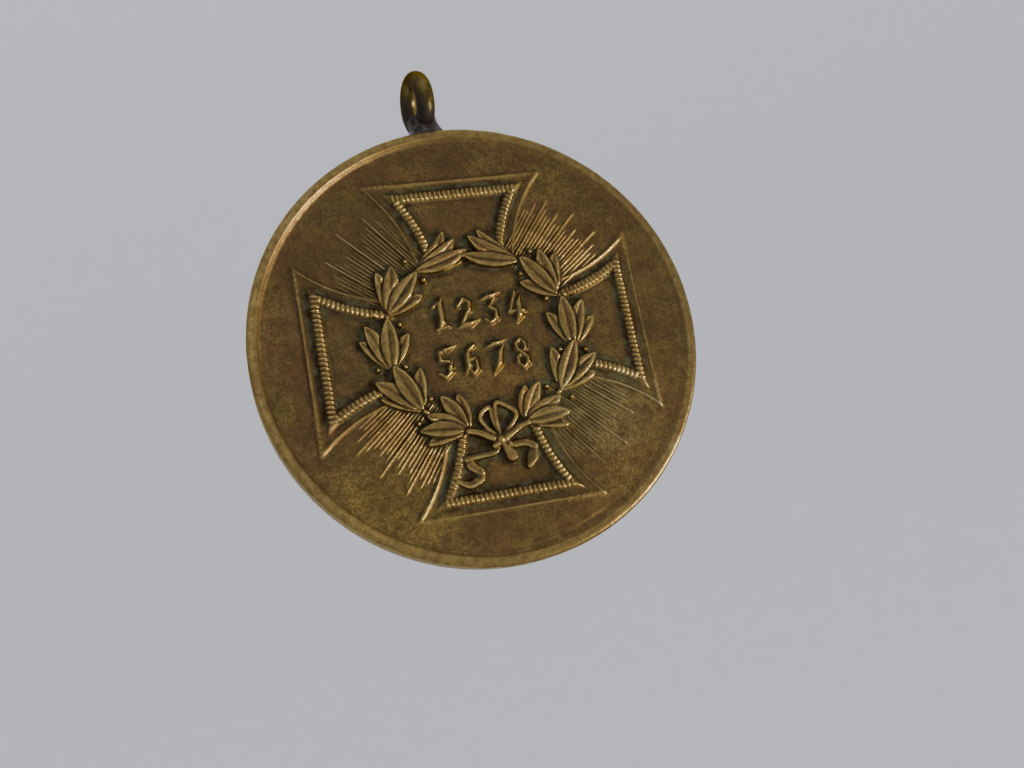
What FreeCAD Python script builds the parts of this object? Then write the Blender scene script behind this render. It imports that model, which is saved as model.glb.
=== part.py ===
import FreeCAD, Part
import math
import os

# A struck bronze service medal that hangs from a fixed ring.  All sizes are in millimetres.
# Frame: the origin is the centre of the ring's eye, +Z points up and away from the disc,
# -Y is the way that the obverse faces, and +X is the right-hand side as the obverse is seen.
#
# Relief is drawn flat in a "face frame": +X right, +Y up, +Z out of the field, with its origin
# at the disc's centre.  on_obverse() and on_reverse() carry it to the two fields.

# ---- driving dimensions ------------------------------------------------------------------
disc_radius = 14.5
rim_thickness = 2.2            # over the crests of the two rims
field_thickness = 1.6          # between the two fields
rim_foot_radius = 13.45        # where the field starts to rise to the rim
cove_way_out = 0.62            # a point that the hollow cove passes, as fractions of its width
cove_way_up = 0.36             # and of its height
crest_inner_radius = 13.92     # the worn flat crest lies between these two radii
crest_outer_radius = 14.12

ring_centre_height = 17.0      # from the disc's centre to the centre of the ring's eye
ring_mean_radius = 1.6
ring_wire_radius = 0.62
ring_yaw_deg = 9.5             # the ring isn't quite at right angles to the disc
design_turn_deg = 3.7          # the obverse is turned clockwise under the ring
strike_shift = (-0.02, -0.09)  # and struck a little off centre

solder_foot_radius = 2.05      # how far the solder runs out along the edge
solder_foot_drop = 0.10        # of the foot's rim, below the top of the disc
solder_foot_edge = 0.35        # its thickness there
solder_flank_out = 0.20        # the hollow flank's middle, out from the neck
solder_flank_up = 0.48         # and up from the foot's rim
solder_neck_radius = 1.00
solder_top = -1.25             # height at which the solder lets go of the wire
solder_half_depth = 0.88       # front to back, inside the disc's edge

cross_reach = 10.93            # centre of the cross to the end of an arm
cross_arm_half_width = 5.92    # at the end of the arm
cross_waist = 3.02             # half width where the arm is narrowest
cross_flare_radius = 10.6      # of the arm's hollow sides
outline_half_width = 0.11
outline_height = 0.13

bead_band_inset = 0.92         # outline to the middle of the bead band
bead_band_width = 0.76
bead_band_height = 0.18
bead_band_inner_end = 6.6      # the band stops under the wreath
bead_pitch = 0.305
bead_corner_gap = 1.4          # pitches from a corner to the first bead on the hollow side
bead_length = 0.56
bead_width = 0.20
bead_height = 0.09

rays_each_side = 8             # of the middle ray in each bundle
ray_step_deg = 1.27
ray_apex_back = 6.2            # the rays of a bundle meet this far behind the disc's centre
ray_start = 6.3
ray_reach = 10.1               # of the short rays, from the disc's centre
ray_stagger = 0.35             # what every third ray adds to that
ray_long_reach = 11.3
ray_long_every = 5             # the middle ray, and the fifth on either side of it, are long
ray_width = 0.20
ray_height = 0.12

wreath_radius = 6.05
wreath_stem_width = 0.34
wreath_stem_height = 0.22
wreath_stem_overrun_deg = 4    # past the first and the last cluster
wreath_cluster_deg = (17, 47, 75, 110, 143)    # up each branch from the foot of the wreath
wreath_leaves = (                              # turn in from the stem, length, height
    (45, 2.7, 0.34),
    (-26, 2.8, 0.34),
    (18, 3.4, 0.42),
    (-8, 3.4, 0.40),
)
leaf_width_ratio = 0.30
berry_radius = 0.20
berry_radii = (5.25, 6.75)     # rings on which a cluster's two berries sit

numeral_height = 2.25
numeral_pitch = 1.62
numeral_stroke = 0.44
numeral_relief = 0.26
numeral_rows = (("1234", 0.15, 0.80), ("5678", -0.05, -2.40))    # digits, row centre, foot

reverse_wreath_radius = 10.1
reverse_cluster_deg = tuple(range(12, 160, 17))
reverse_leaves = ((34, 2.2, 0.24), (-34, 2.2, 0.24), (0, 2.7, 0.28))

bow_foot = -6.65               # height of the obverse bow's knot above the disc's centre
reverse_bow_foot = -10.2
reverse_bow_size = 0.8         # against the obverse bow
knot_radius = 0.34
knot_height = 0.40
bow_loop = ((0, 0), (0.65, 0.7), (1.1, 1.45), (0.55, 2.2), (0.08, 2.1), (0.05, 0.8))
bow_loop_width = 0.34
bow_loop_height = 0.30
bow_tail = ((0.1, -0.25), (0.8, -0.8), (1.95, -0.85), (1.6, -1.75), (2.2, -2.4), (2.9, -2.2))
bow_tail_width = 0.50
bow_tail_height = 0.28

smallest_solid = 0.0005        # mm3; a smaller solid is a crumb left by a cut

# ---- sizes worked out from them ----------------------------------------------------------
crest = rim_thickness / 2
field = field_thickness / 2
flare_centre_x = cross_waist + cross_flare_radius
flare_centre_y = cross_reach - math.sqrt(
    cross_flare_radius ** 2 - (flare_centre_x - cross_arm_half_width) ** 2)

V = FreeCAD.Vector
AXIS_X = V(1, 0, 0)
AXIS_Z = V(0, 0, 1)
CENTRE = V(0, 0, 0)


# ---- placing -----------------------------------------------------------------------------
def turned(shape, degrees, about=CENTRE):
    """The shape turned in the face frame, anticlockwise."""
    copy = shape.copy()
    copy.rotate(about, AXIS_Z, degrees)
    return copy


def moved(shape, x, y, z=0):
    copy = shape.copy()
    copy.translate(V(x, y, z))
    return copy


def on_obverse(shape):
    """Stand a face-frame shape on the front field."""
    copy = moved(turned(shape, -design_turn_deg), *strike_shift, field)
    copy.rotate(CENTRE, AXIS_X, 90)
    copy.translate(V(0, 0, -ring_centre_height))
    return copy


def on_reverse(shape):
    """Stand a face-frame shape on the back field."""
    copy = moved(shape, 0, 0, field)
    copy.rotate(CENTRE, AXIS_X, 90)
    copy.rotate(CENTRE, AXIS_Z, 180)
    copy.translate(V(0, 0, -ring_centre_height))
    return copy


# ---- small solids ------------------------------------------------------------------------
def faceted(points, faces):
    """A closed solid with flat faces; each face lists its points' numbers."""
    sheets = [Part.Face(Part.makePolygon([points[i] for i in face + face[:1]])) for face in faces]
    solid = Part.Solid(Part.makeShell(sheets))
    if solid.Volume < 0:
        solid.reverse()
    return solid


def leaf(length, height):
    """A pointed leaf along +X, with its midrib as the ridge of two slopes."""
    half = leaf_width_ratio * length / 2
    near, far = 0.28 * length, 0.58 * length       # the leaf is nearly as wide at both
    near_half, far_height = 0.92 * half, 0.90 * height
    points = [
        V(0, 0, 0), V(near, -near_half, 0), V(far, -half, 0),
        V(length, 0, 0), V(far, half, 0), V(near, near_half, 0),
        V(near, 0, height), V(far, 0, far_height),
    ]
    faces = [
        [0, 5, 4, 3, 2, 1], [0, 1, 6], [0, 6, 5], [1, 2, 7], [1, 7, 6],
        [5, 6, 7], [5, 7, 4], [2, 3, 7], [4, 7, 3],
    ]
    return faceted(points, faces)


def ridge_bar(start, end, width, height):
    """A bar with a ridge along its top and a sloping facet at each end."""
    run = end - start
    along = V(run).normalize()
    across = V(-along.y, along.x, 0) * (width / 2)
    lift = V(0, 0, height)
    hip = along * min(width / 2, 0.4 * run.Length)
    points = [
        start - across, end - across, end + across, start + across,
        start + hip + lift, end - hip + lift,
    ]
    faces = [[0, 3, 2, 1], [0, 1, 5, 4], [2, 3, 4, 5], [1, 2, 5], [3, 0, 4]]
    return faceted(points, faces)


def ribbon(route, width, height):
    """A flat-lying ribbon: one ridged bar for each run of its route, overlapping at the bends."""
    bars = []
    for start, end in zip(route, route[1:]):
        spare = V(end - start).normalize() * (width / 3)
        bars.append(ridge_bar(start - spare, end + spare, width, height))
    return bars


def berry(x, y, radius):
    """A half ball that stands on the field."""
    return Part.makeSphere(radius, V(x, y, 0), AXIS_Z, 0, 90, 360)


def band_sector(radius, width, height, first_deg, last_deg):
    """Part of a flat ring round the face's centre, between two bearings from +X."""
    inner, outer = radius - width / 2, radius + width / 2

    def at(r, degrees):
        return V(r * math.cos(math.radians(degrees)), r * math.sin(math.radians(degrees)), 0)

    middle = (first_deg + last_deg) / 2
    edges = [
        Part.Arc(at(outer, first_deg), at(outer, middle), at(outer, last_deg)).toShape(),
        Part.makeLine(at(outer, last_deg), at(inner, last_deg)),
        Part.Arc(at(inner, last_deg), at(inner, middle), at(inner, first_deg)).toShape(),
        Part.makeLine(at(inner, first_deg), at(outer, first_deg)),
    ]
    return Part.Face(Part.Wire(edges)).extrude(V(0, 0, height))


def joined(solids):
    return solids[0].multiFuse(solids[1:]).removeSplitter()


# ---- the three physical pieces -----------------------------------------------------------
def struck_disc():
    """Both fields, both rims and the rounded edge, turned about the disc's own axis."""
    shoulder = disc_radius - crest_outer_radius
    shoulder_mid = shoulder * math.sqrt(0.5)
    half_edge = crest - shoulder
    cove_mid_radius = rim_foot_radius + cove_way_out * (crest_inner_radius - rim_foot_radius)
    cove_mid_height = field + cove_way_up * (crest - field)

    def half_rim(side):
        """Outline from the field out to the edge, on the front (+1) or the back (-1)."""
        cove = Part.Arc(
            V(rim_foot_radius, 0, side * field),
            V(cove_mid_radius, 0, side * cove_mid_height),
            V(crest_inner_radius, 0, side * crest))
        round_over = Part.Arc(
            V(crest_outer_radius, 0, side * crest),
            V(crest_outer_radius + shoulder_mid, 0, side * (half_edge + shoulder_mid)),
            V(disc_radius, 0, side * half_edge))
        return [
            Part.makeLine(V(0, 0, side * field), V(rim_foot_radius, 0, side * field)),
            cove.toShape(),
            Part.makeLine(V(crest_inner_radius, 0, side * crest),
                          V(crest_outer_radius, 0, side * crest)),
            round_over.toShape(),
        ]

    edges = half_rim(1) + half_rim(-1)
    edges.append(Part.makeLine(V(disc_radius, 0, half_edge), V(disc_radius, 0, -half_edge)))
    edges.append(Part.makeLine(V(0, 0, field), V(0, 0, -field)))
    outline = Part.Wire(Part.__sortEdges__(edges))
    disc = Part.Face(outline).revolve(CENTRE, AXIS_Z, 360)
    disc.rotate(CENTRE, AXIS_X, 90)
    disc.translate(V(0, 0, -ring_centre_height))
    return disc


def suspension_ring():
    yaw = math.radians(ring_yaw_deg)
    axis = V(math.cos(yaw), math.sin(yaw), 0)
    return Part.makeTorus(ring_mean_radius, ring_wire_radius, CENTRE, axis)


def solder_joint(disc, ring):
    """A hollow-flanked saddle from the disc's edge up round the foot of the ring."""
    foot_height = disc_radius - ring_centre_height - solder_foot_drop
    base_height = foot_height - solder_foot_edge
    flank = Part.Arc(
        V(solder_foot_radius, 0, foot_height),
        V(solder_neck_radius + solder_flank_out, 0, foot_height + solder_flank_up),
        V(solder_neck_radius, 0, solder_top))
    edges = [
        Part.makeLine(V(0, 0, base_height), V(solder_foot_radius, 0, base_height)),
        Part.makeLine(V(solder_foot_radius, 0, base_height),
                      V(solder_foot_radius, 0, foot_height)),
        flank.toShape(),
        Part.makeLine(V(solder_neck_radius, 0, solder_top), V(0, 0, solder_top)),
        Part.makeLine(V(0, 0, solder_top), V(0, 0, base_height)),
    ]
    saddle = Part.Face(Part.Wire(edges)).revolve(CENTRE, AXIS_Z, 360)
    slab_length = 2 * solder_foot_radius
    slab_height = solder_top - base_height
    slab = Part.makeBox(slab_length, 2 * solder_half_depth, slab_height,
                        V(-slab_length / 2, -solder_half_depth, base_height))
    return saddle.common(slab).cut(disc).cut(ring)


# ---- the cross, its bead border and the rays ---------------------------------------------
def cross_face(inset):
    """The whole cross, with every side moved in by the inset."""
    radius = cross_flare_radius + inset
    reach = cross_reach - inset
    half_width = flare_centre_x - math.sqrt(radius ** 2 - (reach - flare_centre_y) ** 2)
    spread = flare_centre_x - flare_centre_y
    crotch = (flare_centre_x + flare_centre_y - math.sqrt(2 * radius ** 2 - spread ** 2)) / 2

    start_deg = math.atan2(reach - flare_centre_y, half_width - flare_centre_x)
    end_deg = math.atan2(crotch - flare_centre_y, crotch - flare_centre_x) % (2 * math.pi)
    middle = (start_deg + end_deg) / 2
    flare_middle = V(flare_centre_x + radius * math.cos(middle),
                     flare_centre_y + radius * math.sin(middle), 0)
    side = Part.Arc(V(half_width, reach, 0), flare_middle, V(crotch, crotch, 0)).toShape()
    arm = [
        Part.makeLine(V(-half_width, reach, 0), V(half_width, reach, 0)),
        side,
        side.mirror(CENTRE, AXIS_X),
    ]
    edges = [turned(edge, 90 * arm_number) for arm_number in range(4) for edge in arm]
    return Part.Face(Part.Wire(Part.__sortEdges__(edges)))


def centre_plug(radius):
    """A cylinder that clears the middle of the face, above and below the field."""
    return Part.makeCylinder(radius, 2 * crest, V(0, 0, -crest))


def cross_outline(wreath):
    """A thin raised line round the cross, hidden where the wreath lies over it."""
    line = cross_face(-outline_half_width).cut(cross_face(outline_half_width))
    ridge = line.extrude(V(0, 0, outline_height))
    return ridge.cut(centre_plug(wreath_radius)).cut(wreath)


def arm_bead_places():
    """Middle and bearing of each bead round the upper arm."""
    radius = cross_flare_radius + bead_band_inset
    reach = cross_reach - bead_band_inset
    corner_x = flare_centre_x - math.sqrt(radius ** 2 - (reach - flare_centre_y) ** 2)
    count = round(2 * corner_x / bead_pitch)
    places = [(corner_x * (2 * i / count - 1), reach, 90.0) for i in range(count + 1)]
    step = bead_pitch / radius
    bearing = math.atan2(reach - flare_centre_y, corner_x - flare_centre_x)
    bearing += bead_corner_gap * step
    while True:
        x = flare_centre_x + radius * math.cos(bearing)
        y = flare_centre_y + radius * math.sin(bearing)
        if math.hypot(x, y) < bead_band_inner_end + bead_length / 2:
            return places
        degrees = math.degrees(bearing)
        places += [(x, y, degrees), (-x, y, 180 - degrees)]
        bearing += step


def bead_border(wreath, bow, arm_number):
    """One arm's border: a low band with a row of beads across it, open towards the centre."""
    outer = cross_face(bead_band_inset - bead_band_width / 2)
    inner = cross_face(bead_band_inset + bead_band_width / 2)
    far = 2 * cross_reach
    upper_arm = Part.Face(Part.makePolygon([CENTRE, V(far, far, 0), V(-far, far, 0), CENTRE]))
    band = outer.cut(inner).common(upper_arm).extrude(V(0, 0, bead_band_height))
    band = band.cut(centre_plug(bead_band_inner_end))
    bead = ridge_bar(V(-bead_length / 2, 0, 0), V(bead_length / 2, 0, 0), bead_width, bead_height)
    pieces = [band]
    for x, y, bearing in arm_bead_places():
        pieces.append(moved(turned(bead, bearing), x, y, bead_band_height))
    border = turned(Part.makeCompound(pieces), 90 * arm_number)
    return border.cut(wreath).cut(bow)


def ray_bundle(wreath, bearing):
    """Straight tapering rays between two arms, three of them long."""
    rays = []
    for number in range(-rays_each_side, rays_each_side + 1):
        reach = ray_long_reach if number % ray_long_every == 0 else (
            ray_reach + ray_stagger * (number % 3 == 0))
        start = ray_start + ray_apex_back
        tip = reach + ray_apex_back
        points = [
            V(start, -ray_width / 2, 0), V(start, ray_width / 2, 0), V(tip, 0, 0),
            V(start, 0, ray_height),
        ]
        ray = faceted(points, [[0, 1, 2], [0, 3, 1], [1, 3, 2], [0, 2, 3]])
        rays.append(moved(turned(ray, number * ray_step_deg), -ray_apex_back, 0))
    bundle = turned(Part.makeCompound(rays), bearing)
    return bundle.cut(wreath)


# ---- wreath and bow ----------------------------------------------------------------------
def wreath_branch(side, radius, clusters_deg, leaves, berries):
    """One branch, right-hand (+1) or left-hand (-1), growing up from the foot of the wreath."""
    first = clusters_deg[0] - wreath_stem_overrun_deg
    last = clusters_deg[-1] + wreath_stem_overrun_deg
    pieces = [band_sector(radius, wreath_stem_width, wreath_stem_height, first - 90, last - 90)]
    for around in clusters_deg:
        bearing = around - 90
        x = radius * math.cos(math.radians(bearing))
        y = radius * math.sin(math.radians(bearing))
        for turn_in, length, height in leaves:
            blade = turned(leaf(length, height), around + turn_in)
            pieces.append(moved(blade, x, y))
        for ring in berries:
            pieces.append(berry(ring * x / radius, ring * y / radius, berry_radius))
    branch = joined(pieces)
    return branch if side > 0 else branch.mirror(CENTRE, AXIS_X)


def bow_pieces(foot, size):
    """Knot, two upright loops and two curling tails of a ribbon bow."""
    knot = Part.makeCylinder(knot_radius * size, knot_height * size, V(0, foot, 0))
    pieces = [knot]
    for route, width, height in ((bow_loop, bow_loop_width, bow_loop_height),
                                 (bow_tail, bow_tail_width, bow_tail_height)):
        for side in (1, -1):
            path = [V(side * size * x, foot + size * y, 0) for x, y in route]
            pieces += ribbon(path, width * size, height * size)
    return pieces


def bow(foot, size, branches):
    """The bow as one solid, trimmed to lie against the two branches."""
    shape = joined(bow_pieces(foot, size))
    for branch in branches:
        shape = shape.cut(branch)
    return shape


# ---- numerals ----------------------------------------------------------------------------
# Each digit is a list of strokes on a grid 1 wide and 2 high.
DIGIT_STROKES = {
    "1": [(0.15, 1.55, 0.55, 1.95), (0.55, 2.0, 0.55, 0.0)],
    "2": [(0.05, 1.6, 0.5, 1.95), (0.5, 1.95, 0.95, 1.45), (0.95, 1.45, 0.1, 0.15),
          (0.05, 0.12, 1.0, 0.12)],
    "3": [(0.05, 1.85, 0.95, 1.85), (0.95, 1.85, 0.45, 1.15), (0.45, 1.15, 0.95, 0.6),
          (0.95, 0.6, 0.5, 0.05), (0.5, 0.05, 0.05, 0.35)],
    "4": [(0.7, 2.0, 0.05, 0.65), (0.05, 0.65, 1.0, 0.65), (0.72, 1.25, 0.72, 0.0)],
    "5": [(0.95, 1.88, 0.15, 1.88), (0.15, 1.88, 0.15, 1.15), (0.15, 1.15, 0.6, 1.2),
          (0.6, 1.2, 0.95, 0.65), (0.95, 0.65, 0.5, 0.05), (0.5, 0.05, 0.05, 0.35)],
    "6": [(0.8, 1.95, 0.25, 1.45), (0.25, 1.45, 0.15, 0.5), (0.15, 0.5, 0.5, 0.05),
          (0.5, 0.05, 0.9, 0.5), (0.9, 0.5, 0.55, 1.05), (0.55, 1.05, 0.2, 0.8)],
    "7": [(0.05, 1.85, 1.0, 1.85), (0.95, 1.85, 0.35, 0.0)],
    "8": [(0.5, 2.0, 0.12, 1.55), (0.12, 1.55, 0.88, 0.55), (0.88, 0.55, 0.5, 0.0),
          (0.5, 0.0, 0.12, 0.5), (0.12, 0.5, 0.88, 1.5), (0.88, 1.5, 0.5, 2.0)],
}


def numeral_row(digits, centre_x, foot_y):
    """A row of faceted digits, each one joined into a single solid."""
    scale = numeral_height / 2
    solids = []
    for place, digit in enumerate(digits):
        left = centre_x + (place - len(digits) / 2) * numeral_pitch + (numeral_pitch - scale) / 2
        strokes = []
        for x0, y0, x1, y1 in DIGIT_STROKES[digit]:
            start = V(left + scale * x0, foot_y + scale * y0, 0)
            end = V(left + scale * x1, foot_y + scale * y1, 0)
            strokes.append(ridge_bar(start, end, numeral_stroke, numeral_relief))
        solids.append(joined(strokes))
    return Part.makeCompound(solids)


# ---- build and write ---------------------------------------------------------------------
def solids_of(shape):
    """The shape's solids, without any crumb left by a cut."""
    kept = [solid for solid in shape.Solids if solid.Volume > smallest_solid]
    return kept[0] if len(kept) == 1 else Part.makeCompound(kept)


def build():
    disc = struck_disc()
    ring = suspension_ring()
    nodes = {
        "struck_disc": disc,
        "suspension_ring": ring,
        "solder_joint": solder_joint(disc, ring),
    }

    right, left = (
        wreath_branch(side, wreath_radius, wreath_cluster_deg, wreath_leaves, berry_radii)
        for side in (1, -1))
    wreath = Part.makeCompound([right, left])
    front_bow = bow(bow_foot, 1.0, (right, left))
    obverse = {
        "obverse_wreath_right": right,
        "obverse_wreath_left": left,
        "obverse_bow": front_bow,
        "obverse_cross_outline": cross_outline(wreath),
    }
    for arm_number, name in enumerate(("upper", "left", "lower", "right")):
        obverse["obverse_bead_border_" + name] = bead_border(wreath, front_bow, arm_number)
    corners = ("upper_right", "upper_left", "lower_left", "lower_right")
    for corner_number, name in enumerate(corners):
        bearing = 45 + 90 * corner_number
        obverse["obverse_rays_" + name] = ray_bundle(wreath, bearing)
    for (digits, centre_x, foot_y), name in zip(numeral_rows, ("upper", "lower")):
        obverse["obverse_numerals_" + name] = numeral_row(digits, centre_x, foot_y)

    back_right, back_left = (
        wreath_branch(side, reverse_wreath_radius, reverse_cluster_deg, reverse_leaves, ())
        for side in (1, -1))
    reverse = {
        "reverse_wreath_right": back_right,
        "reverse_wreath_left": back_left,
        "reverse_bow": bow(reverse_bow_foot, reverse_bow_size, (back_right, back_left)),
    }

    nodes.update({name: on_obverse(solids_of(shape)) for name, shape in obverse.items()})
    nodes.update({name: on_reverse(solids_of(shape)) for name, shape in reverse.items()})
    return nodes


os.makedirs("parts", exist_ok=True)
for node_name, node_shape in build().items():
    node_shape.exportStep("parts/" + node_name + ".step")
    print(node_name, len(node_shape.Solids), "solids,", round(node_shape.Volume, 3), "mm3,",
          "valid" if node_shape.isValid() else "NOT VALID")
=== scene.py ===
import math

import bpy
import numpy as np
from mathutils import Matrix, Vector, noise


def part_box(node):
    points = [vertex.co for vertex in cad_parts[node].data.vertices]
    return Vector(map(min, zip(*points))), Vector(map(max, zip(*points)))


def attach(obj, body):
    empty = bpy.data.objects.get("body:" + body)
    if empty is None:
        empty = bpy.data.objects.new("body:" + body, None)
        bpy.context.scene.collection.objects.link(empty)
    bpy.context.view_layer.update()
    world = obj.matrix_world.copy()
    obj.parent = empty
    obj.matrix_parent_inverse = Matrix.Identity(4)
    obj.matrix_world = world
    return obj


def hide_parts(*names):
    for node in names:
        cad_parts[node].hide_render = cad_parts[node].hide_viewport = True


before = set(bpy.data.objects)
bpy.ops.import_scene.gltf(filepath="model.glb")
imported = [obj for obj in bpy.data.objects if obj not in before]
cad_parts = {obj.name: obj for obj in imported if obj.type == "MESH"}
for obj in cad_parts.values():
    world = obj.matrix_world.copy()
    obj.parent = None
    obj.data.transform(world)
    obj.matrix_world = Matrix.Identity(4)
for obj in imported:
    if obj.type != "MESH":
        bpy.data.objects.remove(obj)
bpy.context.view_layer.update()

# A struck bronze service medal on a fixed ring.  Blender works in metres; the relief is drawn in
# millimetres in a face frame (x right, y up, heights out of the field) and placed from the CAD frame.
MM = 0.001

disc_low, disc_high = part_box("struck_disc")
DISC_CENTRE = (Vector(disc_low) + Vector(disc_high)) / 2
DISC_RADIUS = (disc_high[0] - disc_low[0]) / 2 / MM
CREST = (disc_high[1] - disc_low[1]) / 2 / MM

# ---- driving dimensions of the strike, in millimetres ------------------------------------------
FIELD = 0.80                     # from the middle of the disc's thickness to either field
RIM_FOOT = 13.32                 # radius at which the field starts to rise
CREST_RADIUS = 14.02
SHOULDER = 0.28                  # of the rounded corner between the crest and the edge
EDGE_RING = 0.35                 # a ring of points on either side of the edge's middle
FIELD_DISH = 0.04                # how much deeper a field is at its middle than at the rim
FIELD_SWELL = 0.010              # how far its slow unevenness goes
RIM_POINTS = 1152                # round the rim and the edge
FINE_RADIUS = 11.75              # the obverse may have twice as many round it inside this

RELIEF_HALF = 13.5               # half the width of the square that a face's relief is drawn on
RELIEF_END = 12.9                # no relief reaches past this radius

DESIGN_TURN = math.radians(3.7)  # clockwise, as the obverse is seen
STRIKE_SHIFT = (-0.02, -0.09)

CROSS_REACH = 10.93
CROSS_HALF_WIDTH = 5.92
CROSS_WAIST = 3.02
FLARE_RADIUS = 10.6
FLARE_X = CROSS_WAIST + FLARE_RADIUS
FLARE_Y = CROSS_REACH - math.sqrt(FLARE_RADIUS ** 2 - (FLARE_X - CROSS_HALF_WIDTH) ** 2)

OUTLINE_HALF_WIDTH = 0.15
OUTLINE_HEIGHT = 0.15
OUTLINE_LEDGE = 0.22             # a low ledge inside the outline, and how far in it goes
OUTLINE_LEDGE_WIDTH = 0.45

BAND_INSET = 0.92                # outline to the middle of the ribbed band
BAND_HALF_WIDTH = 0.41
BAND_HEIGHT = 0.20
BEAD_PITCH = 0.305
BEAD_HALF_LONG = 0.30
BEAD_HALF_WIDE = 0.118
BEAD_HEIGHTS = (0.12, 0.155)
BEAD_SINK = 0.05                 # of a bead's foot, into the band

RAYS_EACH_SIDE = 11              # of the middle ray in each bundle
RAY_STEP_DEG = 0.92
RAY_APEX_BACK = 6.2              # the rays of a bundle meet this far behind the centre
RAY_START = 5.4                  # this and the reaches are distances past the centre
RAY_SHORT_REACH = 9.85
RAY_LONG_REACH = 11.1
RAY_LONG_EVERY = 7
RAY_TAPER = 0.35                 # of the width, root to tip
RAY_SINK = 0.40                  # of the height, root to tip
RAY_POINT = 0.35                 # length over which the tip dies away

WREATH_RADIUS = 6.05
WREATH_TROUGH = 0.03             # the field is this much lower under the wreath
TROUGH_RADIUS, TROUGH_REACH = 6.1, 1.5   # its middle, and how far it spreads to each side
BERRY_HEIGHT = 0.36
BOW_FOOT = -6.65                 # the knot, from the centre
LEAF_BELLY = 2.93                # these three shape a leaf's outline, broadest near its middle
LEAF_ROOT_POWER = 0.80
LEAF_TIP_POWER = 0.75
WALL = 0.09                      # how wide the steep edge of a leaf or a ribbon is
WALL_OUTSIDE = 0.3               # the share of that edge that lies outside the outline
MOAT = 0.14                      # how far round a shape what lies under it is pressed down
LEAF_PRESS = 0.55                # how much of its height that loses under a leaf
RIBBON_PRESS = 0.25              # and under a ribbon
LEE = (0.71, -0.71)              # the leaves and the bow stand a little prouder on this side
LEAN = 0.20                      # by this much of a leaf's height
NIB = 0.52                       # strokes broader than this have slanted ends
NIB_CUT = (0.78, 0.62)           # the slant's direction
NUMERAL_PITCH = 1.66
NUMERAL_WIDTH = 1.25
NUMERAL_WEIGHT = 1.18            # thickens every stroke
NUMERAL_HEIGHT = 0.32


# ---- relief drawing --------------------------------------------------------------------------
def smooth(t):
    t = np.clip(t, 0, 1)
    return t * t * (3 - 2 * t)


def blurred(heights, sigma):
    """Gaussian blur, sigma in grid steps."""
    reach = max(1, int(math.ceil(3 * sigma)))
    offsets = np.arange(-reach, reach + 1)
    weights = np.exp(-0.5 * (offsets / sigma) ** 2)
    weights /= weights.sum()
    for axis in (0, 1):
        padded = np.pad(heights, [(reach, reach) if a == axis else (0, 0) for a in (0, 1)], "edge")
        size = heights.shape[axis]
        total = np.zeros_like(heights)
        for shift, weight in zip(range(2 * reach + 1), weights):
            part = padded[shift:shift + size] if axis == 0 else padded[:, shift:shift + size]
            total += weight * part
        heights = total
    return heights


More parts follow.
